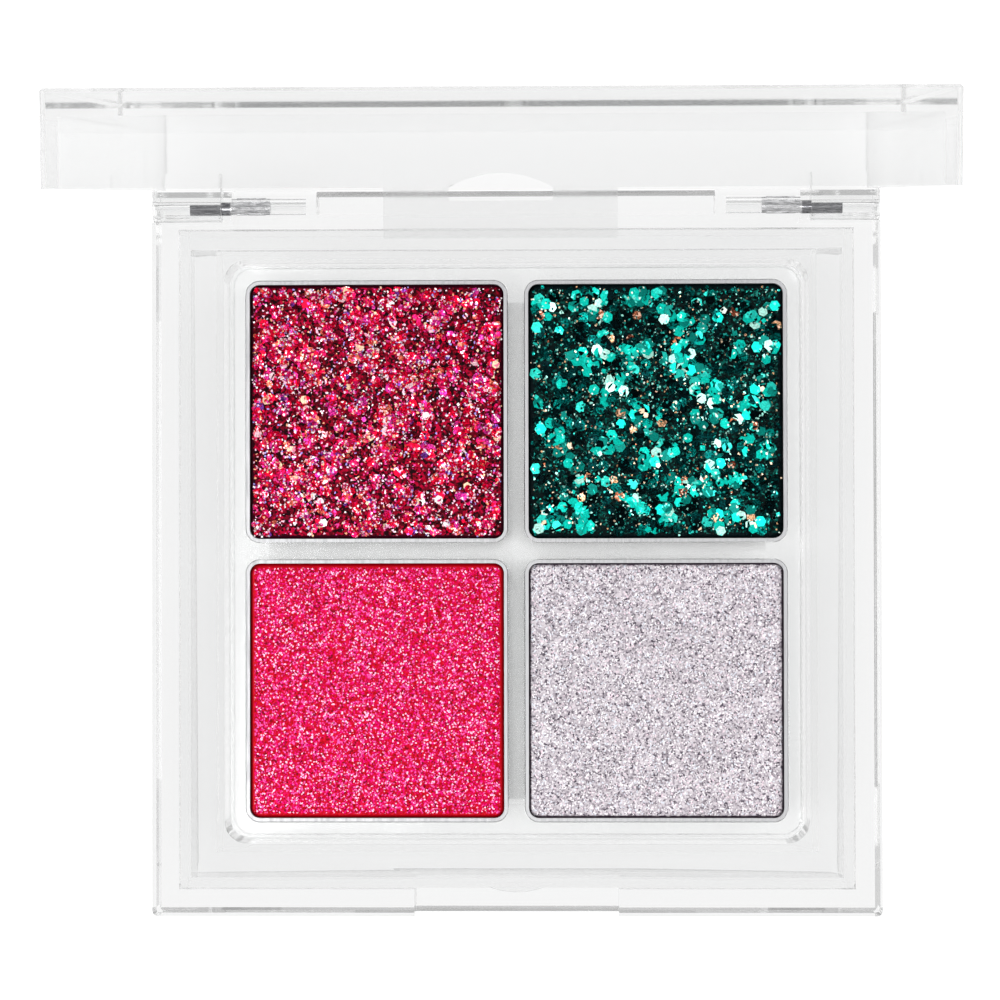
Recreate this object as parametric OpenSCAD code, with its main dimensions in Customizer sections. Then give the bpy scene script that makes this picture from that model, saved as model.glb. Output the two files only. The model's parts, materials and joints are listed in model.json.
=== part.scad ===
// Clear four-pan eyeshadow palette with a hinged snap lid, in millimetres.
// The base's underside is centred on the origin, +Z is up, the hinge is at +Y and the latch at -Y.

/* [Case] */
// Width of the case, left to right
case_w = 65; // [64:0.5:68]
// Depth of the case, front to back
case_d = 65; // [64:0.5:68]
// Height of the base
base_h = 7.5; // [7.3:0.1:8.5]
// Height of the lid, rim to top
lid_h = 7.1; // [6.5:0.1:8]
// Radius of the case's upright corners
corner_r = 0.5; // [0.3:0.1:0.9]
// Chamfer along the case's long outer edges
edge_chamfer = 0.25; // [0.2:0.05:0.5]
// Thickness of the base's outer wall
base_wall = 2.4; // [2.2:0.1:2.6]
// Thickness of the base's floor
floor_t = 1.2; // [1:0.1:1.3]
// Thickness of the lid's side walls
lid_wall = 1.2; // [1:0.1:1.3]
// Thickness of the lid's top plate
lid_top_t = 1.9; // [1.5:0.1:2.2]

/* [Frame insert] */
// Side of the square opening in the frame
pocket_w = 52.3; // [52:0.1:53]
// Radius of the opening's corners
pocket_r = 2; // [1.5:0.1:2.5]
// Drop from the base's rim to the frame's outer edge
frame_drop = 0.3; // [0.2:0.1:0.5]
// Drop of the frame's sloping face, outer edge to opening
frame_slope = 0.9; // [0.5:0.1:1.1]
// Thickness of the frame's skirts and sloping face
frame_t = 0.8; // [0.7:0.05:1]

/* [Pans] */
// Side of a pan over its walls
pan_w = 23.4; // [23:0.1:23.4]
// Distance between the centres of neighbouring pans
pan_pitch = 25; // [24.9:0.1:25.2]
// Height of a pan
pan_h = 4; // [3.6:0.1:4]
// Thickness of a pan's wall and floor
pan_t = 0.3; // [0.25:0.05:0.4]
// Radius of a pan's upright corners
pan_r = 1.2; // [1:0.1:1.5]
// Drop from a pan's rim to the pressed colour
fill_drop = 0.3; // [0.2:0.05:0.5]
// Diameter of the glue dot under a pan
glue_d = 10; // [6:1:14]

/* [Tray] */
// Side of the tray that holds the pans
tray_w = 51.2; // [51:0.1:51.5]
// Radius of the tray's upright corners
tray_r = 1.6; // [1:0.1:2]
// Thickness of the tray's floor
tray_floor = 0.7; // [0.6:0.1:0.8]

/* [Hinge] */
// Angle that the lid is drawn at, from closed
lid_angle = 84; // [0:1:97]
// Radius of the base's hinge barrels, whose tops are level with its rim
barrel_r = 1.6; // [1.5:0.05:1.6]
// Radius of the lid's knuckles
knuckle_r = 1.2; // [1.1:0.05:1.3]
// Diameter of a hinge pin
pin_d = 1.2; // [1:0.1:1.3]
// Length of a hinge pin
pin_len = 7.2; // [6.5:0.1:7.5]
// Inner end of a base hinge block, from the centre line
block_x0 = 17.8; // [16:0.1:18]
// Outer end of a base hinge block, from the centre line
block_x1 = 25.4; // [25.2:0.1:25.6]

/* [Latch] */
// Width of the lid's latch tab
tab_w = 16.5; // [14:0.1:17]
// Length of the latch tab below the lid's rim
tab_len = 3.6; // [3.2:0.1:3.7]
// Width of the catch bump on the frame
catch_w = 4.7; // [3.5:0.1:6]
// Width of the hook on the tab, and of the window above it
hook_w = 7.4; // [6:0.1:9]

/* [Label] */
// Side of the square label under the base
label_w = 45; // [40:0.5:46]

/* [Hidden] */
$fn = 48;

clear = [0.92, 0.95, 0.96, 0.35];
cut = 1;                 // how far a cutting shape runs past the face it cuts
seat_gap = 0.05;         // film of air between two clear parts that rest on each other
half_w = case_w / 2;
half_d = case_d / 2;

rim_gap = 0.05;          // gap between the two rims when the lid is shut
rim_z = base_h + rim_gap;                // the lid's rim when it is shut
hinge_y = half_d - barrel_r - 0.15;
hinge_z = base_h - barrel_r;             // the hinge axis lies below the rims
rear_reach = norm([half_d - hinge_y, rim_z - hinge_z]);   // from the axis to the lid's rear rim edge
stop_angle = 99;                         // where that edge would meet the floor of its notch
notch_z = hinge_z - rear_reach * sin(stop_angle - atan2(rim_z - hinge_z, half_d - hinge_y));
rear_wall = 3.75;                        // the rear wall is thicker, to carry the hinge blocks
ledge_t = 1.3;                           // what stays of it between the hinge blocks
knuckle_x0 = block_x1 + 1;               // inner end of a lid knuckle
knuckle_gap = 0.15;                      // clearance in front of a knuckle
post_inset = 0.3;                        // a block's post stands in from its barrel, clear of the open lid's rim
knuckle_root_h = 1.5;                    // how far a knuckle's corner block climbs inside the lid
pin_x0 = 22;                             // inner end of a hinge pin
bore_x0 = 18.8;                          // blind end of a base bore
running_gap = 0.06;                      // radial clearance of the pin in the lid's knuckle
knurl_teeth = 16;
knurl_h = 0.04;                          // how far the knurl bites into the base's bore

frame_w = case_w - 2 * base_wall - 0.2;
frame_front = -frame_w / 2;
frame_rear = half_d - rear_wall - 0.1;
frame_top = base_h - frame_drop;
frame_seat = floor_t + seat_gap;

tray_top = frame_top - frame_slope - 0.1;
well_w = pan_w + 0.12;
well_z = frame_seat + tray_floor;
glue_t = 0.2;
pan_z = well_z + glue_t;
pan_corners = [[-1, 1], [1, 1], [-1, -1], [1, -1]];

latch_notch_w = 18.2;
latch_notch_z = base_h - tab_len - 0.3;
tab_t = 1.2;
tab_front = -half_d + 0.4;
tab_root_h = 1.6;        // how far the tab's root climbs the lid's front wall
catch_depth = 0.4;
catch_z = base_h - 0.85;
catch_h = 0.5;
hook_z = catch_z - 0.05; // the hook's ledge lies just under the catch
hook_depth = 0.45;       // reaches back just short of the catch's crest
window_arch_h = 1;       // rise of the window's arch above the rim
swell_h = 0.55;          // how far the wall's wavy edge dips below the rim beside the hook

label_t = 0.15;
label_recess = 0.25;
label_margin = 0.5;

// Plate with round upright corners, standing on z = 0
module rounded_plate(w, d, h, r) {
    linear_extrude(h) {
        square([w - 2 * r, d], center = true);
        square([w, d - 2 * r], center = true);
        for (x = [-1, 1], y = [-1, 1])
            translate([x * (w / 2 - r), y * (d / 2 - r)]) circle(r);
    }
}

// Side view of a block whose lower and upper edges are chamfered
module chamfered_profile(w, h, low, high) {
    polygon([
        [-w / 2 + low, 0], [w / 2 - low, 0], [w / 2, low], [w / 2, h - high],
        [w / 2 - high, h], [-w / 2 + high, h], [-w / 2, h - high], [-w / 2, low]
    ]);
}

// Outer shape of the base or lid: round upright corners, chamfered lower or upper edges
module case_block(h, low, high) {
    intersection() {
        rounded_plate(case_w, case_d, h, corner_r);
        rotate([90, 0, 0]) linear_extrude(case_d, center = true) chamfered_profile(case_w, h, low, high);
        rotate([90, 0, 90]) linear_extrude(case_w, center = true) chamfered_profile(case_d, h, low, high);
    }
}

// Box given by its lowest and highest corners
module box(low, high) {
    translate(low) cube(high - low);
}

// Cylinder along X from x0 to x1, on the hinge axis
module on_hinge_axis(x0, x1, r) {
    translate([x0, hinge_y, hinge_z]) rotate([0, 90, 0]) cylinder(h = x1 - x0, r = r);
}

// Hinge block of the base, right-hand side: an upright post with a round top
module hinge_block() {
    box([block_x0, hinge_y - barrel_r, floor_t], [block_x1, hinge_y + barrel_r - post_inset, hinge_z]);
    on_hinge_axis(block_x0, block_x1, barrel_r);
}

module base_shell() {
    color(clear) difference() {
        union() {
            difference() {
                case_block(base_h, edge_chamfer, 0.01);
                // Inside of the box
                box([-half_w + base_wall, -half_d + base_wall, floor_t],
                    [half_w - base_wall, half_d - rear_wall, base_h + cut]);
                // Notch for the latch tab
                box([-latch_notch_w / 2, -half_d - cut, latch_notch_z],
                    [latch_notch_w / 2, -half_d + base_wall + cut, base_h + cut]);
                // Notch between the hinge blocks
                box([-block_x1, half_d - rear_wall + ledge_t, notch_z], [block_x1, half_d + cut, base_h + cut]);
                // Notches under the lid's knuckles
                for (side = [0, 1]) mirror([side, 0, 0])
                    box([block_x1, hinge_y - knuckle_r - knuckle_gap, notch_z],
                        [half_w + cut, half_d + cut, base_h + cut]);
                // Recess for the label
                translate([0, 0, -cut])
                    rounded_plate(label_w + 2 * label_margin, label_w + 2 * label_margin, label_recess + cut, 1.5);
            }
            for (side = [0, 1]) mirror([side, 0, 0]) hinge_block();
        }
        for (side = [0, 1]) mirror([side, 0, 0]) on_hinge_axis(bore_x0, block_x1 + cut, pin_d / 2);
    }
}

// Strip of the frame's section: upright sides under a slope that rises away from the opening
module frame_strip(inner, outer, low, drop) {
    slope = frame_slope / (frame_w / 2 - pocket_w / 2);
    top = frame_top - frame_slope - drop;
    polygon([
        [inner, low], [outer, low],
        [outer, top + slope * (outer - pocket_w / 2)],
        [inner, top + slope * (inner - pocket_w / 2)]
    ]);
}

// The four strips of a square frame; where they cross, the higher slope wins, which mitres the corners
module frame_strips(inner, outer, rear_outer, low, drop) {
    for (side = [0, 1]) mirror([side, 0, 0]) translate([0, rear_outer, 0]) rotate([90, 0, 0])
        linear_extrude(rear_outer + outer) frame_strip(inner, outer, low, drop);
    translate([-outer, 0, 0]) rotate([90, 0, 90]) linear_extrude(2 * outer) {
        mirror([1, 0]) frame_strip(inner, outer, low, drop);
        if (rear_outer > inner) frame_strip(inner, rear_outer, low, drop);
    }
}

// Gusset that rounds one corner of the frame's opening
module opening_corner() {
    inner = pocket_w / 2 - pocket_r;
    translate([0, 0, frame_seat]) linear_extrude(frame_top - frame_slope - frame_seat) difference() {
        translate([inner, inner]) square(pocket_r + frame_t / 2);
        translate([inner, inner]) circle(pocket_r);
    }
}

module bezel_frame() {
    color(clear) {
        for (turn = [0 : 90 : 270]) rotate(turn) opening_corner();
        difference() {
            frame_strips(pocket_w / 2, frame_w / 2, frame_rear, frame_seat, 0);
            translate([0, 0, -cut])
                frame_strips(pocket_w / 2 + frame_t, frame_w / 2 - frame_t, frame_rear - frame_t * 2, frame_seat,
                    frame_t - cut);
        }
        // Catch bump that the latch tab's hook snaps under
        bump_r = (catch_w * catch_w / 4 + catch_depth * catch_depth) / (2 * catch_depth);
        intersection() {
            translate([0, frame_front - catch_depth + bump_r, catch_z]) cylinder(h = catch_h, r = bump_r, $fn = 96);
            box([-catch_w, frame_front - cut, 0], [catch_w, frame_front + frame_t / 2, base_h]);
        }
    }
}

module pan_tray() {
    color(clear) difference() {
        translate([0, 0, frame_seat]) rounded_plate(tray_w, tray_w, tray_top - frame_seat, tray_r);
        for (c = pan_corners) translate([c.x * pan_pitch / 2, c.y * pan_pitch / 2, well_z])
            rounded_plate(well_w, well_w, pan_h + cut * 2, pan_r + 0.1);
    }
}

// One pan; which counts through pan_corners
module pan(which) {
    c = pan_corners[which];
    color([0.86, 0.87, 0.88]) translate([c.x * pan_pitch / 2, c.y * pan_pitch / 2, pan_z]) difference() {
        rounded_plate(pan_w, pan_w, pan_h, pan_r);
        translate([0, 0, pan_t]) rounded_plate(pan_w - 2 * pan_t, pan_w - 2 * pan_t, pan_h, pan_r - pan_t);
    }
}

// The pressed colour in one pan
module pressed_fill(which, shade) {
    c = pan_corners[which];
    w = pan_w - 2 * pan_t - 0.02;
    color(shade) translate([c.x * pan_pitch / 2, c.y * pan_pitch / 2, pan_z + pan_t])
        rounded_plate(w, w, pan_h - pan_t - fill_drop, pan_r - pan_t);
}

// The glue dot under one pan
module pan_glue(which) {
    c = pan_corners[which];
    color([0.95, 0.94, 0.88]) translate([c.x * pan_pitch / 2, c.y * pan_pitch / 2, well_z])
        cylinder(h = glue_t, d = glue_d);
}

module underside_label() {
    color([0.9, 0.9, 0.9]) translate([0, 0, label_recess - label_t - 0.02])
        rounded_plate(label_w, label_w, label_t, 1);
}

// Steel pin, right-hand side: knurled where the base grips it, plain where the lid turns on it
module hinge_pin() {
    color([0.75, 0.75, 0.76]) {
        on_hinge_axis(pin_x0, pin_x0 + pin_len, pin_d / 2);
        knurl_r = pin_d / 2 + knurl_h;
        translate([pin_x0 + 0.4, hinge_y, hinge_z]) rotate([0, 90, 0]) linear_extrude(block_x1 - pin_x0 - 0.8)
            polygon([
                for (i = [0 : 2 * knurl_teeth - 1])
                    let (r = i % 2 == 0 ? knurl_r : pin_d / 2 - knurl_h, a = 180 * i / knurl_teeth)
                    r * [cos(a), sin(a)]
            ]);
    }
}

// Knuckle of the lid, right-hand side: a barrel below a block in the lid's corner
module knuckle() {
    on_hinge_axis(knuckle_x0, half_w, knuckle_r);
    intersection() {
        box([knuckle_x0, hinge_y - knuckle_r, hinge_z], [half_w, half_d, rim_z + knuckle_root_h]);
        rounded_plate(case_w, case_d, base_h + lid_h, corner_r);
    }
}

// Upright slab of a circle's segment, of width w and rise h above z = 0, from y0 back to y1
module segment_slab(w, h, y0, y1) {
    r = (w * w / 4 + h * h) / (2 * h);
    intersection() {
        translate([0, y1, h - r]) rotate([90, 0, 0]) cylinder(h = y1 - y0, r = r, $fn = 96);
        box([-w / 2, y0 - cut, 0], [w / 2, y1 + cut, h + cut]);
    }
}

// Tab under the lid's front wall, with the hook that snaps under the catch
module latch_tab() {
    tab_rear = tab_front + tab_t;
    swell_w = (tab_w - hook_w) / 2;
    box([-tab_w / 2, tab_front, rim_z - tab_len], [tab_w / 2, tab_rear, rim_z + tab_root_h]);
    box([-hook_w / 2, tab_rear - tab_t / 2, rim_z - tab_len], [hook_w / 2, tab_rear + hook_depth, hook_z]);
    // The wall's outer skin dips below the rim on both sides of the hook
    for (side = [-1, 1]) translate([side * (hook_w + swell_w) / 2, 0, rim_z]) mirror([0, 0, 1])
        segment_slab(swell_w, swell_h, -half_d, tab_front + tab_t / 2);
}

// Window through the wall and the tab above the hook, with an arched top
module hook_window() {
    box([-hook_w / 2, -half_d - cut, hook_z], [hook_w / 2, -half_d + tab_root_h + cut, rim_z]);
    translate([0, 0, rim_z - 0.01]) segment_slab(hook_w, window_arch_h, -half_d - cut, -half_d + tab_root_h + cut);
}

// The lid in its shut place
module lid_shut() {
    difference() {
        union() {
            difference() {
                translate([0, 0, rim_z]) case_block(lid_h - rim_gap, 0.01, edge_chamfer);
                box([-half_w + lid_wall, -half_d + lid_wall, 0],
                    [half_w - lid_wall, half_d - lid_wall, base_h + lid_h - lid_top_t]);
            }
            for (side = [0, 1]) mirror([side, 0, 0]) knuckle();
            latch_tab();
        }
        for (side = [0, 1]) mirror([side, 0, 0])
            on_hinge_axis(knuckle_x0 - cut, half_w + cut, pin_d / 2 + running_gap);
        hook_window();
    }
}

module lid_shell() {
    color(clear) translate([0, hinge_y, hinge_z]) rotate([-lid_angle, 0, 0]) translate([0, -hinge_y, -hinge_z])
        lid_shut();
}

base_shell();
bezel_frame();
pan_tray();
lid_shell();
mirror([1, 0, 0]) hinge_pin();  // hinge_pin_left
hinge_pin();  // hinge_pin_right
pan(0);  // pan_rear_left
pan(1);  // pan_rear_right
pan(2);  // pan_front_left
pan(3);  // pan_front_right
pressed_fill(0, [0.75, 0.1, 0.3]);  // pressed_pink_glitter
pressed_fill(1, [0.05, 0.4, 0.38]);  // pressed_teal_glitter
pressed_fill(2, [0.88, 0.1, 0.3]);  // pressed_red_shimmer
pressed_fill(3, [0.72, 0.67, 0.73]);  // pressed_lilac_shimmer
pan_glue(0);  // pan_glue_rear_left
pan_glue(1);  // pan_glue_rear_right
pan_glue(2);  // pan_glue_front_left
pan_glue(3);  // pan_glue_front_right
underside_label();
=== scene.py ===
"""Looks of a clear four-pan eyeshadow palette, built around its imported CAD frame. Lengths are in metres."""

import json
import math

import bpy
import numpy as np
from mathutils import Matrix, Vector

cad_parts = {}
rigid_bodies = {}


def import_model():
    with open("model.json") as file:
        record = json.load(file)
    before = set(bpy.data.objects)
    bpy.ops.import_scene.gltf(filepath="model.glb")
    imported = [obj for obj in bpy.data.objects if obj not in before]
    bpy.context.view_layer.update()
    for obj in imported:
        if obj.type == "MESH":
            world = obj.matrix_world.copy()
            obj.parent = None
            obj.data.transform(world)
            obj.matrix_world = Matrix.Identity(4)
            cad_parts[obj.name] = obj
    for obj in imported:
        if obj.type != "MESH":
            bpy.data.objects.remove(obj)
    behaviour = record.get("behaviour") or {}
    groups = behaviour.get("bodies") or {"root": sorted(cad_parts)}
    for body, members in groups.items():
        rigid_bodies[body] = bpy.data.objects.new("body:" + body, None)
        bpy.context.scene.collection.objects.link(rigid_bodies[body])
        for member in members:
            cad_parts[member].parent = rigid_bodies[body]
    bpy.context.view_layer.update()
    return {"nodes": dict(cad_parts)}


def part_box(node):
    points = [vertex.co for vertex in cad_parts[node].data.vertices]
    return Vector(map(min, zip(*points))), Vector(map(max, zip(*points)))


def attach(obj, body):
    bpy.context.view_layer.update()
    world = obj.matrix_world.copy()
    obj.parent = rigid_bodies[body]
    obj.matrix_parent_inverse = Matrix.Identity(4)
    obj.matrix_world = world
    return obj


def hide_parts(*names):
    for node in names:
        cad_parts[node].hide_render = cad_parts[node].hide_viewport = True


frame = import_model()

MM = 0.001
CORNERS = ["rear_left", "rear_right", "front_left", "front_right"]


# ---------------------------------------------------------------- node and mesh helpers

def new_material(name):
    """A material with an empty node tree apart from its Principled shader, and that shader."""
    material = bpy.data.materials.new(name)
    material.use_nodes = True
    return material, material.node_tree.nodes["Principled BSDF"]


def add_node(material, kind, **settings):
    """A shader node of a kind; settings name its sockets or properties. A world will do as well."""
    node = material.node_tree.nodes.new("ShaderNode" + kind)
    for key, value in settings.items():
        if key in node.inputs:
            node.inputs[key].default_value = value
        else:
            setattr(node, key, value)
    return node


def link(material, source, output, target, socket):
    material.node_tree.links.new(source.outputs[output], target.inputs[socket])


def colour_ramp(material, stops, constant=False):
    """A colour ramp with (position, colour) stops."""
    node = add_node(material, "ValToRGB")
    ramp = node.color_ramp
    ramp.interpolation = "CONSTANT" if constant else "LINEAR"
    while len(ramp.elements) < len(stops):
        ramp.elements.new(0.5)
    for element, (position, colour) in zip(ramp.elements, stops):
        element.position = position
        element.color = (*colour, 1)
    return node


def dress(name, material, no_shadow=False, round_edges=0.0):
    """Gives a CAD node its material, and rounds its edges with modifiers, which leave its mesh alone."""
    node = frame["nodes"][name]
    node.data.materials.clear()
    node.data.materials.append(material)
    node.visible_shadow = not no_shadow
    if round_edges:
        weld = node.modifiers.new("weld", "WELD")
        weld.merge_threshold = 0.002 * MM
        flat = node.modifiers.new("flat_faces", "DECIMATE")
        flat.decimate_type = "DISSOLVE"
        flat.angle_limit = math.radians(1)
        bevel = node.modifiers.new("round_edges", "BEVEL")
        bevel.width = round_edges
        bevel.segments = 2
        bevel.limit_method = "ANGLE"
        bevel.angle_limit = math.radians(40)
        bevel.harden_normals = False
        normals = node.modifiers.new("normals", "WEIGHTED_NORMAL")
        normals.weight = 100
        normals.keep_sharp = False


# ---------------------------------------------------------------- camera, light and floor

def make_camera():
    """Looks almost straight down on the open palette."""
    data = bpy.data.cameras.new("camera")
    data.lens = 117.263
    data.sensor_width = 36
    data.clip_start = 0.01
    camera = bpy.data.objects.new("camera", data)
    bpy.context.scene.collection.objects.link(camera)
    camera.location = (0.005027, 0.000909, 0.297664)
    camera.rotation_euler = [math.radians(a) for a in (0.7136, 1.2735, -0.1023)]
    bpy.context.scene.camera = camera


def area_light(name, location, target, size, power):
    data = bpy.data.lights.new(name, "AREA")
    data.shape = "RECTANGLE"
    data.size, data.size_y = size
    data.energy = power
    light = bpy.data.objects.new(name, data)
    bpy.context.scene.collection.objects.link(light)
    light.location = location
    light.rotation_euler = (Vector(target) - Vector(location)).to_track_quat("-Z", "Y").to_euler()


def make_studio():
    """Bright walls, most of all left and right, with a dim ceiling and horizon, and three soft lamps."""
    world = bpy.data.worlds.new("studio")
    world.use_nodes = True
    bpy.context.scene.world = world
    where = add_node(world, "TexCoord")
    split = add_node(world, "SeparateXYZ")
    sideways = add_node(world, "Math", operation="ABSOLUTE")
    link(world, where, "Generated", split, "Vector")
    link(world, split, "X", sideways, 0)
    # Greys by the sine of the elevation, and factors by how far the direction points left or right
    heights = [(0.0, 0.6), (0.1, 0.65), (0.22, 1.03), (0.6, 0.93), (0.85, 0.6), (0.97, 0.42)]
    sides = [(0.0, 0.95), (0.3, 0.98), (0.65, 1.08), (0.9, 1.22)]
    by_height = colour_ramp(world, [(position, (grey, grey, grey)) for position, grey in heights])
    by_side = colour_ramp(world, [(position, (grey, grey, grey)) for position, grey in sides])
    link(world, split, "Z", by_height, "Fac")
    link(world, sideways, "Value", by_side, "Fac")
    product = mixed(world, 1.0, (by_height, "Color"), (by_side, "Color"), "MULTIPLY")
    link(world, product, "Color", world.node_tree.nodes["Background"], "Color")

    area_light("key", (-0.35, -0.15, 0.6), (0, 0, 0), (0.4, 0.6), 3.9)
    area_light("fill", (0.45, 0.1, 0.5), (0, 0, 0), (0.4, 0.6), 2.6)
    area_light("overhead", (0, 0.05, 0.7), (0, 0.03, 0), (0.25, 0.25), 4.0)


def make_floor():
    """A wide white floor that glows, so that it stays white round the palette."""
    side = 3.0
    corners = [(-side, -side, 0), (side, -side, 0), (side, side, 0), (-side, side, 0)]
    mesh = bpy.data.meshes.new("floor")
    mesh.from_pydata(corners, [], [(0, 1, 2, 3)])
    floor = bpy.data.objects.new("floor", mesh)
    bpy.context.scene.collection.objects.link(floor)
    material, shader = new_material("floor_white")
    shader.inputs["Base Color"].default_value = (0.22, 0.22, 0.22, 1)
    shader.inputs["Roughness"].default_value = 0.8
    shader.inputs["Specular IOR Level"].default_value = 0.2
    shader.inputs["Emission Color"].default_value = (1, 1, 1, 1)
    # The glow fades with the distance from the palette, so that clear plastic shows up against the far floor
    where = add_node(material, "TexCoord")
    distance = add_node(material, "VectorMath", operation="LENGTH")
    link(material, where, "Object", distance, 0)
    glow = ranged(material, distance, "Value", 0.08, 0.32, 0.8, 0.48)
    link(material, glow, "Result", shader, "Emission Strength")
    mesh.materials.append(material)
    floor.location.z = -0.02 * MM


# ---------------------------------------------------------------- materials

def clear_plastic(name, tint=(0.972, 0.974, 0.974), roughness=0.015, milk=0.0, haze=0.0):
    """Clear moulded plastic. milk is the share of light that it scatters, and haze adds cloudy roughness."""
    material, shader = new_material(name)
    shader.inputs["Base Color"].default_value = (*tint, 1)
    shader.inputs["IOR"].default_value = 1.53
    shader.inputs["Transmission Weight"].default_value = 1 - milk
    where = add_node(material, "TexCoord")
    # Flow marks of the moulding: long soft streaks
    stretch = add_node(material, "Mapping")
    stretch.inputs["Scale"].default_value = (1, 0.12, 1)
    link(material, where, "Object", stretch, "Vector")
    flow = add_node(material, "TexNoise", Scale=1 / (5 * MM), Detail=3.0)
    link(material, stretch, "Vector", flow, "Vector")
    rough = ranged(material, flow, "Fac", 0.3, 0.7, roughness, roughness + haze)
    link(material, rough, "Result", shader, "Roughness")
    bump = add_node(material, "Bump", Strength=0.05, Distance=0.02 * MM)
    link(material, flow, "Fac", bump, "Height")
    link(material, bump, "Normal", shader, "Normal")
    absorb_per_metre = 2.0
    absorb = add_node(material, "VolumeAbsorption", Color=(0.0, 0.0, 0.0, 1), Density=absorb_per_metre)
    output = material.node_tree.nodes["Material Output"]
    link(material, absorb, "Volume", output, "Volume")
    return material


def knurled_steel(name):
    """Turned steel with marks along it: each pin's outer half is bare, polished steel painted dark for its
    dark reflections, and its knurled half dull.
    """
    material, shader = new_material(name)
    where = add_node(material, "TexCoord")
    stretch = add_node(material, "Mapping")
    stretch.inputs["Scale"].default_value = (0.15, 1, 1)
    link(material, where, "Object", stretch, "Vector")
    marks = add_node(material, "TexNoise", Scale=1 / (0.12 * MM), Detail=4.0)
    link(material, stretch, "Vector", marks, "Vector")
    tone = ranged(material, marks, "Fac", 0.35, 0.7)
    # Painted reflection: the bare half's dark colour stands in for the dark surroundings that its polished
    # steel reflects.
    dark = mixed(material, (tone, "Result"), (0.28, 0.28, 0.29), (0.1, 0.1, 0.11))
    dull = mixed(material, (tone, "Result"), (0.75, 0.75, 0.76), (0.32, 0.32, 0.33))
    inner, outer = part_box("hinge_pin_right")
    middle = (inner.x + outer.x) / 2
    split = add_node(material, "SeparateXYZ")
    link(material, where, "Object", split, "Vector")
    outwards = add_node(material, "Math", operation="ABSOLUTE")
    link(material, split, "X", outwards, 0)
    bare = ranged(material, outwards, "Value", middle - 0.1 * MM, middle + 0.1 * MM)
    colour = mixed(material, (bare, "Result"), (dull, "Color"), (dark, "Color"))
    link(material, colour, "Color", shader, "Base Color")
    rough = ranged(material, marks, "Fac", 0.3, 0.7, 0.16, 0.26)
    link(material, rough, "Result", shader, "Roughness")
    shader.inputs["Metallic"].default_value = 1.0
    return material


def pressed_aluminium(name):
    """Thin pressed sheet with a rolled grain."""
    material, shader = new_material(name)
    where = add_node(material, "TexCoord")
    stretch = add_node(material, "Mapping")
    stretch.inputs["Scale"].default_value = (1, 0.08, 1)
    link(material, where, "Object", stretch, "Vector")
    grain = add_node(material, "TexNoise", Scale=1 / (0.25 * MM), Detail=4.0)
    link(material, stretch, "Vector", grain, "Vector")
    tone = ranged(material, grain, "Fac", 0.3, 0.7)
    colour = mixed(material, (tone, "Result"), (0.5, 0.5, 0.51), (0.38, 0.38, 0.39))
    link(material, colour, "Color", shader, "Base Color")
    rough = ranged(material, grain, "Fac", 0.3, 0.7, 0.3, 0.5)
    link(material, rough, "Result", shader, "Roughness")
    shader.inputs["Metallic"].default_value = 0.8
    bump = add_node(material, "Bump", Strength=0.2, Distance=0.01 * MM)
    link(material, grain, "Fac", bump, "Height")
    link(material, bump, "Normal", shader, "Normal")
    return material


def dried_glue(name):
    """Milky glue with small bubbles."""
    material, shader = new_material(name)
    where = add_node(material, "TexCoord")
    bubbles = add_node(material, "TexVoronoi", Scale=1 / (0.6 * MM))
    link(material, where, "Object", bubbles, "Vector")
    hole = ranged(material, bubbles, "Distance", 0.12, 0.3)
    colour = mixed(material, (hole, "Result"), (0.97, 0.96, 0.92), (0.86, 0.84, 0.76))
    link(material, colour, "Color", shader, "Base Color")
    shader.inputs["Roughness"].default_value = 0.35
    bump = add_node(material, "Bump", Strength=0.4, Distance=0.05 * MM)
    link(material, hole, "Result", bump, "Height")
    link(material, bump, "Normal", shader, "Normal")
    return material


def label_paper(name):
    """Coated paper with faint fibres, a little darker where it took up damp."""
    material, shader = new_material(name)
    where = add_node(material, "TexCoord")
    fibres = noise_at(material, where, 0.2 * MM, 5)
    clouds = noise_at(material, where, 6 * MM)
    fine = ranged(material, fibres, "Fac", 0.3, 0.7)
    wide = ranged(material, clouds, "Fac", 0.3, 0.7)
    paper = mixed(material, (fine, "Result"), (0.86, 0.86, 0.86), (0.93, 0.93, 0.93))
    colour = mixed(material, (wide, "Result"), (paper, "Color"), (0.94, 0.94, 0.94), "MULTIPLY")
    link(material, colour, "Color", shader, "Base Color")
    shader.inputs["Roughness"].default_value = 0.5
    bump = add_node(material, "Bump", Strength=0.3, Distance=0.01 * MM)
    link(material, fibres, "Fac", bump, "Height")
    link(material, bump, "Normal", shader, "Normal")
    return material


def shares_ramp(material, shares):
    """A stepped colour ramp that gives each (share, colour) its share of the range."""
    stops, position = [], 0.0
    for share, colour in shares:
        stops.append((position, colour))
        position += share
    return colour_ramp(material, stops, constant=True)


def mixed(material, factor, low, high, blend="MIX"):
    """A colour mix node; factor, low and high are each a (node, output) pair or a plain value."""
    mix = add_node(material, "MixRGB", blend_type=blend)
    for socket, value in (("Fac", factor), ("Color1", low), ("Color2", high)):
        if isinstance(value, tuple) and isinstance(value[0], bpy.types.Node):
            link(material, value[0], value[1], mix, socket)
        elif socket == "Fac":
            mix.inputs[socket].default_value = value
        else:
            mix.inputs[socket].default_value = (*value, 1)
    return mix


def ranged(material, source, output, low, high, to_low=0.0, to_high=1.0):
    """A smooth step of a value from low to high, as a Map Range node."""
    node = add_node(material, "MapRange", interpolation_type="SMOOTHSTEP")
    link(material, source, output, node, "Value")
    node.inputs["From Min"].default_value = low
    node.inputs["From Max"].default_value = high
    node.inputs["To Min"].default_value = to_low
    node.inputs["To Max"].default_value = to_high
    return node


def noise_at(material, where, size, detail=2.0):
    """Noise with features about size metres across."""
    noise = add_node(material, "TexNoise", Scale=1 / size, Detail=detail)
    link(material, where, "Object", noise, "Vector")
    return noise


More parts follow.
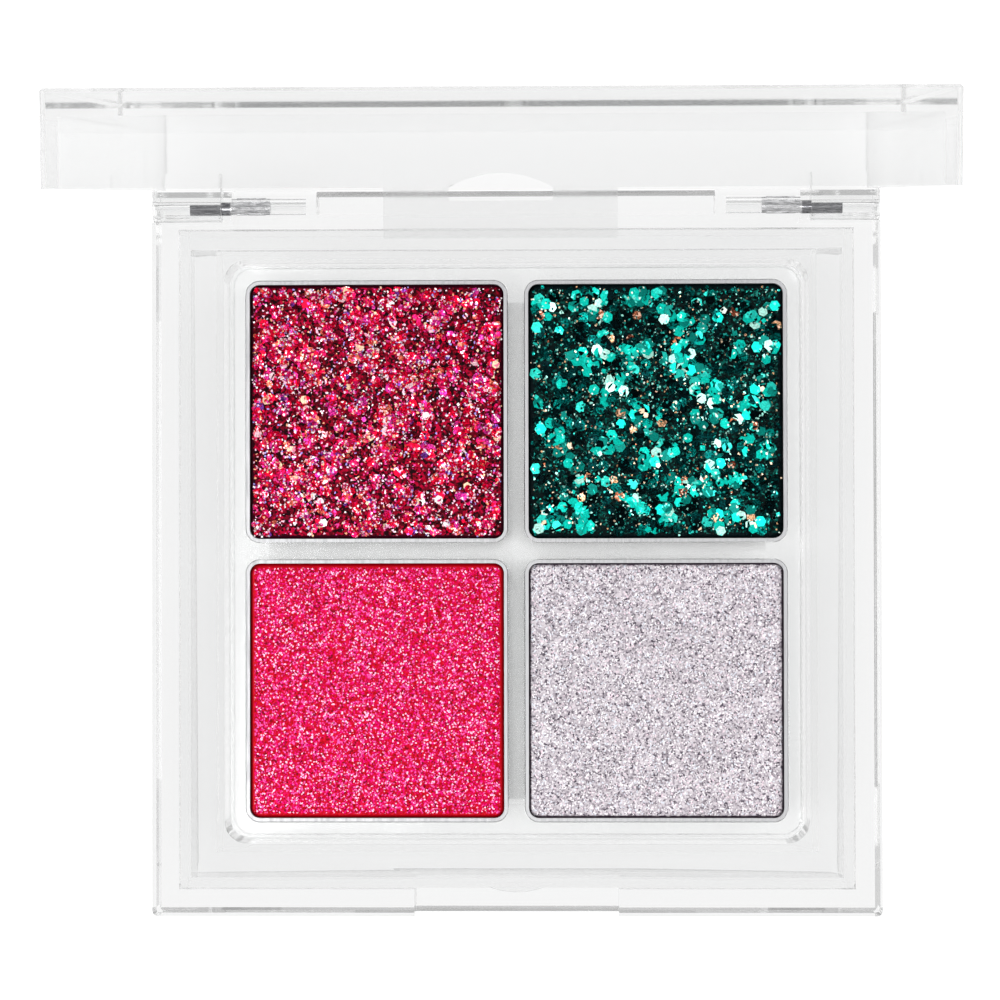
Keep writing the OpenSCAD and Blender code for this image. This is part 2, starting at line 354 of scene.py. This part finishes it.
def cells_at(material, where, size):
    """A random value for each of the Voronoi cells, about size metres across."""
    cells = add_node(material, "TexVoronoi", Scale=1 / size)
    split = add_node(material, "SeparateColor")
    link(material, where, "Object", cells, "Vector")
    link(material, cells, "Color", split, "Color")
    return split


def flake_material(name, shares, glints=(), glint_share=0.0, dark=0.3, roughness=0.3, metallic=0.7):
    """Film flakes: each draws one of the (share, colour) colours, mottled and with grains of painted glint on
    it: pale cells stand in for highlights, beside coloured grains.
    """
    material, shader = new_material(name)
    where = add_node(material, "TexCoord")
    geometry = add_node(material, "NewGeometry")
    colour = shares_ramp(material, shares)
    link(material, geometry, "Random Per Island", colour, "Fac")
    dust = noise_at(material, where, 0.14 * MM, 3)
    shade = ranged(material, dust, "Fac", 0.44, 0.58, dark, 0.0)
    colour = mixed(material, (shade, "Result"), (colour, "Color"), (0.0, 0.0, 0.0))
    # Painted glints: a share of the cells takes the glints colours, which stand in for highlights on the
    # flakes.
    if glints:
        grains = cells_at(material, where, 0.17 * MM)
        lit = ranged(material, grains, "Green", 1 - glint_share - 0.02, 1 - glint_share + 0.02)
        glint = shares_ramp(material, glints)
        link(material, grains, "Blue", glint, "Fac")
        colour = mixed(material, (lit, "Result"), (colour, "Color"), (glint, "Color"))
    link(material, colour, "Color", shader, "Base Color")
    shader.inputs["Metallic"].default_value = metallic
    shader.inputs["Roughness"].default_value = roughness
    shader.inputs["Specular IOR Level"].default_value = 0.12
    return material


def grain_material(name, grain, shares, sparkle_share, sparkle, cluster, roughness, metallic, specular):
    """Pressed grains about grain metres across, tinted by cluster in places, with painted sparkles among
    them: brighter cells stand in for highlights, beside coloured grains.
    """
    material, shader = new_material(name)
    where = add_node(material, "TexCoord")
    grains = cells_at(material, where, grain)
    ramp = shares_ramp(material, shares)
    link(material, grains, "Red", ramp, "Fac")
    soft = noise_at(material, where, 1.6 * MM)
    clouds = ranged(material, soft, "Fac", 0.35, 0.65)
    tinted = mixed(material, (clouds, "Result"), (ramp, "Color"), cluster, "MULTIPLY")
    # Painted sparkle: a share of the cells takes the sparkle colours, which stand in for highlights.
    glints = cells_at(material, where, grain * 0.8)
    lit = ranged(material, glints, "Green", 1 - sparkle_share - 0.02, 1 - sparkle_share + 0.02)
    shine = shares_ramp(material, sparkle)
    link(material, glints, "Blue", shine, "Fac")
    mixed_in = mixed(material, (lit, "Result"), (tinted, "Color"), (shine, "Color"))
    link(material, mixed_in, "Color", shader, "Base Color")
    shader.inputs["Metallic"].default_value = metallic
    shader.inputs["Roughness"].default_value = roughness
    shader.inputs["Specular IOR Level"].default_value = specular
    return material, shader, mixed_in, where


def paint_edge_shade(material, shader, colour_node, where, node, band, colour, ragged=0.15 * MM):
    """Paints shade along the outline of a square fill: blends a dark colour in over a band of some width, for
    the shadow in the gap against the pan wall.
    """
    low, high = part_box(node)
    centre = (low + high) / 2
    split = add_node(material, "SeparateXYZ")
    link(material, where, "Object", split, "Vector")
    distances = []
    for axis, middle in (("X", centre.x), ("Y", centre.y)):
        moved = add_node(material, "Math", operation="SUBTRACT")
        link(material, split, axis, moved, 0)
        moved.inputs[1].default_value = middle
        size = add_node(material, "Math", operation="ABSOLUTE")
        link(material, moved, "Value", size, 0)
        distances.append(size)
    furthest = add_node(material, "Math", operation="MAXIMUM")
    link(material, distances[0], "Value", furthest, 0)
    link(material, distances[1], "Value", furthest, 1)
    wobble = noise_at(material, where, 0.5 * MM, 3)
    shift = add_node(material, "Math", operation="MULTIPLY_ADD")
    link(material, wobble, "Fac", shift, 0)
    shift.inputs[1].default_value = ragged * 2
    link(material, furthest, "Value", shift, 2)
    half = (high.x - low.x) / 2 + ragged
    edge = ranged(material, shift, "Value", half - band * 1.2, half - band * 0.8)
    # Painted shade: the dark colour along the outline stands in for the shadow in the gap between the fill
    # and the pan wall.
    blend = mixed(material, (edge, "Result"), (colour_node, "Color"), colour)
    link(material, blend, "Color", shader, "Base Color")


# ---------------------------------------------------------------- pressed colours

class Lumps:
    """A smooth random height field over the palette's plan."""
    CELLS = 128

    def __init__(self, rng, cell, height):
        self.cell = cell
        self.height = height
        self.values = rng.uniform(-1, 1, (self.CELLS, self.CELLS))

    def at(self, x, y):
        u, v = x / self.cell + self.CELLS / 2, y / self.cell + self.CELLS / 2
        i, j = np.floor(u).astype(int), np.floor(v).astype(int)
        s, t = u - i, v - j
        s, t = s * s * (3 - 2 * s), t * t * (3 - 2 * t)
        g = self.values
        low = g[i, j] * (1 - s) + g[i + 1, j] * s
        high = g[i, j + 1] * (1 - s) + g[i + 1, j + 1] * s
        return self.height * (low * (1 - t) + high * t)

    def slope(self, x, y, step=0.05 * MM):
        return (self.at(x + step, y) - self.at(x - step, y)) / (2 * step), \
            (self.at(x, y + step) - self.at(x, y - step)) / (2 * step)


def mesh_piece(name, vertices, faces, material):
    """A flat-shaded mesh that rides on the base."""
    mesh = bpy.data.meshes.new(name)
    mesh.from_pydata(vertices, [], faces)
    mesh.materials.append(material)
    piece = bpy.data.objects.new(name, mesh)
    bpy.context.scene.collection.objects.link(piece)
    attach(piece, "base")
    return piece


def fill_block(name, node, material, rng, lumps, grain, edge, drop=0.0, pitch=0.12 * MM, corner=0.9 * MM):
    """A block of pressed colour with a grainy, lumpy top, worn edges and round corners."""
    low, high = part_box(node)
    centre = (low + high) / 2
    half = (high.x - low.x) / 2
    steps = round(2 * half / pitch) + 1
    line = np.linspace(-half, half, steps)
    x, y = np.meshgrid(line, line, indexing="ij")
    # Grid points in the corner squares move in to round the corners
    ax, ay = np.abs(x) - (half - corner), np.abs(y) - (half - corner)
    inside = (ax > 0) & (ay > 0)
    ux, uy = np.where(inside, ax, 0) / corner, np.where(inside, ay, 0) / corner
    x = np.where(inside, np.sign(x) * (half - corner + corner * ux * np.sqrt(1 - uy * uy / 2)), x)
    y = np.where(inside, np.sign(y) * (half - corner + corner * uy * np.sqrt(1 - ux * ux / 2)), y)
    depth = np.minimum.reduce([
        half - np.abs(x), half - np.abs(y),
        np.where(inside, corner - np.hypot(np.abs(x) - half + corner, np.abs(y) - half + corner), half)])
    worn = np.clip(1 - depth / edge, 0, 1)
    x, y = x + centre.x, y + centre.y
    z = high.z - drop - worn ** 2 * edge * 0.8 + lumps.at(x, y) * (1 - worn)
    z += rng.uniform(-grain, grain, x.shape) * np.clip(depth / (2 * pitch), 0, 1)
    top = np.stack([x, y, z], -1).reshape(-1, 3)
    number = np.arange(steps * steps).reshape(steps, steps)
    quads = np.stack([number[:-1, :-1], number[1:, :-1], number[1:, 1:], number[:-1, 1:]], -1).reshape(-1, 4)
    rim = np.concatenate([number[:-1, 0], number[-1, :-1], number[:0:-1, -1], number[0, :0:-1]])
    foot = top[rim].copy()
    foot[:, 2] = low.z
    foot_number = len(top) + np.arange(len(rim))
    sides = np.stack([rim, foot_number, np.roll(foot_number, -1), np.roll(rim, -1)], -1)
    faces = quads.tolist() + sides.tolist() + [foot_number[::-1].tolist()]
    piece = mesh_piece(name, np.vstack([top, foot]).tolist(), faces, material)
    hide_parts(node)


def scatter_flakes(name, node, material, rng, lumps, groups, patches=None, thickness=0.03 * MM):
    """Thin flakes pressed onto a lumpy top. groups holds (count, smallest radius, largest radius, sides,
    tilt in degrees, lift)."""
    low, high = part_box(node)
    vertices, faces = [], []
    first = 0
    for count, smallest, largest, sides, tilt, lift in groups:
        radius = rng.uniform(smallest, largest, count)
        margin = largest + 0.06 * MM
        tries = 3 * count if patches else count
        x = rng.uniform(low.x + margin, high.x - margin, tries)
        y = rng.uniform(low.y + margin, high.y - margin, tries)
        if patches:
            # The flakes gather where the patches field is high
            likely = np.argsort(-patches.at(x, y) - rng.uniform(0, 1, tries))[:count]
            likely = rng.permutation(likely)
            x, y = x[likely], y[likely]
        z = high.z + lumps.at(x, y) + rng.uniform(-0.3, 1, count) * lift
        slope_x, slope_y = lumps.slope(x, y)
        lean = np.radians(tilt)
        normal = np.stack([-slope_x + rng.normal(0, lean, count), -slope_y + rng.normal(0, lean, count),
                           np.ones(count)], -1)
        normal /= np.linalg.norm(normal, axis=1)[:, None]
        yaw = rng.uniform(0, 2 * math.pi, count)
        along = np.stack([np.cos(yaw), np.sin(yaw), np.zeros(count)], -1)
        along -= normal * (normal * along).sum(1)[:, None]
        along /= np.linalg.norm(along, axis=1)[:, None]
        across = np.cross(normal, along)
        middle = np.stack([x, y, z], -1)
        for face_side in (0.5, -0.5):
            for k in range(sides):
                turn = 2 * math.pi * k / sides
                ring = along * math.cos(turn) + across * math.sin(turn)
                vertices.append(middle + ring * radius[:, None] + normal * thickness * face_side)
        base = first + np.arange(count)
        upper = [base + k * count for k in range(sides)]
        lower = [base + (sides + k) * count for k in range(sides)]
        faces += np.stack(upper, -1).tolist()
        faces += np.stack(lower[::-1], -1).tolist()
        for k in range(sides):
            n = (k + 1) % sides
            faces += np.stack([upper[k], lower[k], lower[n], upper[n]], -1).tolist()
        first += count * sides * 2
    mesh_piece(name, np.vstack(vertices).tolist(), faces, material)


def make_teal_glitter():
    rng = np.random.default_rng(11)
    node = "pressed_teal_glitter"
    lumps = Lumps(rng, 1.7 * MM, 0.08 * MM)
    patches = Lumps(rng, 1.5 * MM, 1.0)
    # The bed's sparkle colours are partly painted highlights: brighter cells that stand in for glints, among
    # teal and copper glitter grains.
    bed, shader, colour, where = grain_material("teal_bed", 0.18 * MM, [
        (0.62, (0.0, 0.005, 0.005)), (0.2, (0.0, 0.03, 0.025)), (0.12, (0.0, 0.09, 0.07)),
        (0.06, (0.02, 0.22, 0.18))],
        0.05, [(0.5, (0.02, 0.5, 0.4)), (0.3, (0.45, 0.8, 0.7)), (0.2, (0.7, 0.4, 0.2))],
        cluster=(0.4, 0.5, 0.5), roughness=0.5, metallic=0.0, specular=0.05)
    # Painted shade: a near-black band along the fill's outline stands in for the shadow in the gap against
    # the pan wall.
    paint_edge_shade(bed, shader, colour, where, node, 0.45 * MM, (0.0, 0.003, 0.004))
    fill_block("teal_glitter_bed", node, bed, rng, lumps, 0.035 * MM, 0.3 * MM, drop=0.1 * MM)
    # Painted glints for the dark flakes: pale cells that stand in for highlights, beside copper-coloured
    # grains.
    pale = [(0.5, (0.02, 0.35, 0.3)), (0.3, (0.3, 0.7, 0.6)), (0.2, (0.8, 0.6, 0.4))]
    # Near-black flakes: partly dark glitter, partly painted shade for flakes tilted away from the light.
    dark = flake_material("teal_dark_and_shaded_film", [
        (0.45, (0.0, 0.006, 0.007)), (0.28, (0.0, 0.03, 0.03)), (0.17, (0.0, 0.1, 0.09)),
        (0.1, (0.0, 0.2, 0.17))],
        pale, 0.06, dark=0.85, metallic=0.9)
    scatter_flakes("teal_dark_and_shaded_flakes", node, dark, rng, lumps, [
        (460, 0.44 * MM, 0.54 * MM, 6, 9, 0.04 * MM), (1800, 0.1 * MM, 0.18 * MM, 6, 18, 0.05 * MM)])
    # The teal flakes' pale cells are painted glints, standing in for highlights.
    film = flake_material("teal_film", [
        (0.26, (0.0, 0.22, 0.18)), (0.52, (0.0, 0.58, 0.46)), (0.12, (0.03, 0.75, 0.62)),
        (0.1, (0.5, 0.95, 0.82))],
        [(0.6, (0.1, 0.85, 0.7)), (0.4, (0.8, 0.98, 0.9))], 0.05, dark=0.3, metallic=0.5)
    scatter_flakes("teal_flakes", node, film, rng, lumps, [
        (330, 0.44 * MM, 0.56 * MM, 6, 10, 0.10 * MM), (60, 0.2 * MM, 0.34 * MM, 4, 16, 0.10 * MM)], patches)
    # The copper flakes' pale cells are painted glints, standing in for highlights, beside dark teal specks.
    copper = flake_material("copper_film", [
        (0.5, (0.55, 0.17, 0.08)), (0.3, (0.8, 0.42, 0.22)), (0.2, (0.25, 0.06, 0.03))],
        [(0.6, (0.9, 0.55, 0.4)), (0.4, (0.0, 0.12, 0.1))], 0.3, dark=0.75)
    scatter_flakes("copper_flakes", node, copper, rng, lumps, [
        (24, 0.4 * MM, 0.5 * MM, 6, 10, 0.09 * MM), (70, 0.08 * MM, 0.14 * MM, 5, 18, 0.12 * MM)])
    dust = flake_material("pale_dust", [
        (0.5, (0.8, 0.95, 0.85)), (0.5, (0.95, 0.72, 0.5))], dark=0.0, metallic=0.2)
    scatter_flakes("teal_dust", node, dust, rng, lumps, [
        (16, 0.2 * MM, 0.4 * MM, 5, 20, 0.12 * MM), (120, 0.06 * MM, 0.11 * MM, 5, 22, 0.13 * MM)], patches)


def make_pink_glitter():
    rng = np.random.default_rng(12)
    node = "pressed_pink_glitter"
    lumps = Lumps(rng, 1.5 * MM, 0.10 * MM)
    patches = Lumps(rng, 0.8 * MM, 1.2)
    # Painted glints, used on the bed and the flakes: the pale cells stand in for highlights; the magenta,
    # violet and orange cells are coloured glitter grains.
    glints = [
        (0.35, (0.95, 0.55, 0.7)), (0.2, (0.95, 0.9, 0.93)), (0.25, (0.8, 0.05, 0.3)),
        (0.08, (0.4, 0.3, 0.8)), (0.12, (0.95, 0.45, 0.25))]
    # The near-black and dark red bed is partly painted shade: it shows in the gaps between flake patches,
    # where the relief would be shaded.
    bed, shader, colour, where = grain_material("pink_bed_and_gap_shade", 0.2 * MM, [
        (0.35, (0.012, 0.0, 0.002)), (0.35, (0.14, 0.0, 0.01)), (0.3, (0.45, 0.0, 0.03))],
        0.1, glints, cluster=(0.5, 0.3, 0.35), roughness=0.5, metallic=0.0, specular=0.05)
    # Painted shade: a dark band along the fill's outline stands in for the shadow in the gap against the pan
    # wall.
    paint_edge_shade(bed, shader, colour, where, node, 0.3 * MM, (0.03, 0.0, 0.005))
    fill_block("pink_glitter_bed", node, bed, rng, lumps, 0.035 * MM, 0.3 * MM, drop=0.12 * MM)
    film = flake_material("pink_film", [
        (0.5, (0.76, 0.0, 0.03)), (0.2, (0.9, 0.008, 0.13)), (0.11, (0.78, 0.03, 0.33)),
        (0.11, (0.08, 0.0, 0.007)), (0.05, (0.9, 0.16, 0.1)), (0.03, (0.2, 0.04, 0.35))],
        glints, 0.18, dark=0.72)
    scatter_flakes("pink_flakes", node, film, rng, lumps, [
        (700, 0.34 * MM, 0.48 * MM, 6, 14, 0.09 * MM),
        (3000, 0.17 * MM, 0.28 * MM, 6, 22, 0.10 * MM)], patches)
    pale = flake_material("pink_pale_film", [
        (0.4, (0.95, 0.6, 0.66)), (0.35, (0.97, 0.68, 0.45)), (0.25, (0.95, 0.88, 0.9))],
        [(1.0, (0.9, 0.15, 0.25))], 0.15, dark=0.3, metallic=0.2)
    scatter_flakes("pink_pale_flakes", node, pale, rng, lumps, [
        (50, 0.34 * MM, 0.44 * MM, 6, 12, 0.11 * MM), (150, 0.12 * MM, 0.2 * MM, 4, 18, 0.12 * MM)], patches)
    # Tiny specks: the pale ones are painted glints, standing in for highlights; the pink, violet and orange
    # ones are coloured glitter.
    dust = flake_material("pink_glint_speck_film", [
        (0.5, (0.97, 0.85, 0.9)), (0.3, (0.92, 0.3, 0.55)), (0.1, (0.4, 0.35, 0.85)),
        (0.1, (0.95, 0.55, 0.3))],
        dark=0.0, metallic=0.2)
    scatter_flakes("pink_glint_specks", node, dust, rng, lumps, [
        (1200, 0.07 * MM, 0.12 * MM, 4, 25, 0.13 * MM)], patches)


def make_red_shimmer():
    rng = np.random.default_rng(13)
    node = "pressed_red_shimmer"
    lumps = Lumps(rng, 4 * MM, 0.03 * MM)
    # The sparkle cells are painted highlights: paler pink cells that stand in for the shimmer's glints.
    powder, shader, colour, where = grain_material("red_powder", 0.15 * MM, [
        (0.25, (0.34, 0.0, 0.004)), (0.35, (0.46, 0.0, 0.012)), (0.25, (0.52, 0.0, 0.05)),
        (0.15, (0.16, 0.0, 0.008))],
        0.34, [(0.4, (0.6, 0.0, 0.14)), (0.4, (0.67, 0.075, 0.3)), (0.2, (0.85, 0.44, 0.6))],
        cluster=(0.9, 0.5, 0.7), roughness=0.4, metallic=0.3, specular=0.08)
    # Painted shade: a darker red band along the cake's outline stands in for the shadow in the gap against
    # the pan wall.
    paint_edge_shade(powder, shader, colour, where, node, 0.4 * MM, (0.42, 0.0, 0.006), ragged=0.05 * MM)
    fill_block("red_shimmer_cake", node, powder, rng, lumps, 0.015 * MM, 0.35 * MM)


def make_lilac_shimmer():
    rng = np.random.default_rng(14)
    node = "pressed_lilac_shimmer"
    lumps = Lumps(rng, 4 * MM, 0.03 * MM)
    # The sparkle cells are painted highlights: pale cells that stand in for the shimmer's glints.
    powder, shader, colour, where = grain_material("lilac_powder", 0.15 * MM, [
        (0.2, (0.41, 0.37, 0.4)), (0.35, (0.51, 0.465, 0.5)), (0.22, (0.3, 0.265, 0.3)),
        (0.14, (0.18, 0.155, 0.18)), (0.09, (0.06, 0.045, 0.065))],
        0.2, [(0.6, (0.72, 0.69, 0.71)), (0.25, (0.54, 0.56, 0.62)), (0.15, (0.64, 0.51, 0.57))],
        cluster=(0.85, 0.85, 0.85), roughness=0.4, metallic=0.2, specular=0.3)
    # Painted shade: a dark band along the cake's outline stands in for the shadow in the gap against the pan
    # wall.
    paint_edge_shade(powder, shader, colour, where, node, 0.16 * MM, (0.05, 0.03, 0.05), ragged=0.12 * MM)
    fill_block("lilac_shimmer_cake", node, powder, rng, lumps, 0.015 * MM, 0.35 * MM)


# ---------------------------------------------------------------- the palette

def dress_case():
    clear = clear_plastic("clear_case", haze=0.02)
    for name in ("base_shell", "bezel_frame"):
        dress(name, clear, no_shadow=True, round_edges=0.12 * MM)
    lid = clear_plastic("clear_case_lid", roughness=0.03, haze=0.02)
    dress("lid_shell", lid, no_shadow=True, round_edges=0.12 * MM)
    tray = clear_plastic("clear_tray", tint=(0.93, 0.935, 0.935), roughness=0.1, milk=0.08, haze=0.1)
    dress("pan_tray", tray, no_shadow=True, round_edges=0.05 * MM)
    steel = knurled_steel("pin_steel")
    for side in ("left", "right"):
        dress("hinge_pin_" + side, steel)
    aluminium = pressed_aluminium("pan_aluminium")
    glue = dried_glue("glue")
    for corner in CORNERS:
        dress("pan_" + corner, aluminium)
        dress("pan_glue_" + corner, glue)
    dress("underside_label", label_paper("label"))


def link_lamps():
    """The lamps leave out the clear case, which would glare. The overhead one lights only pins and label."""
    lit = bpy.data.collections.new("lit_by_lamps")
    deep = bpy.data.collections.new("lit_from_overhead")
    meshes = [piece for piece in bpy.context.scene.objects if piece.type == "MESH"]
    for piece in meshes:
        if not any(m and m.name.startswith("clear_case") for m in piece.data.materials):
            lit.objects.link(piece)
            if piece.name.startswith(("hinge_pin", "underside_label")):
                deep.objects.link(piece)
    for piece in bpy.context.scene.objects:
        if piece.type == "LIGHT":
            piece.light_linking.receiver_collection = deep if piece.name == "overhead" else lit


def studio_settings():
    scene = bpy.context.scene
    scene.view_settings.view_transform = "Standard"
    scene.cycles.max_bounces = 64
    scene.cycles.transmission_bounces = 64
    scene.cycles.glossy_bounces = 32
    scene.cycles.diffuse_bounces = 1
    scene.cycles.blur_glossy = 0.3
    scene.cycles.caustics_reflective = False
    scene.cycles.caustics_refractive = False


make_camera()
make_studio()
make_floor()
studio_settings()
dress_case()
make_pink_glitter()
make_teal_glitter()
make_red_shimmer()
make_lilac_shimmer()
link_lamps()
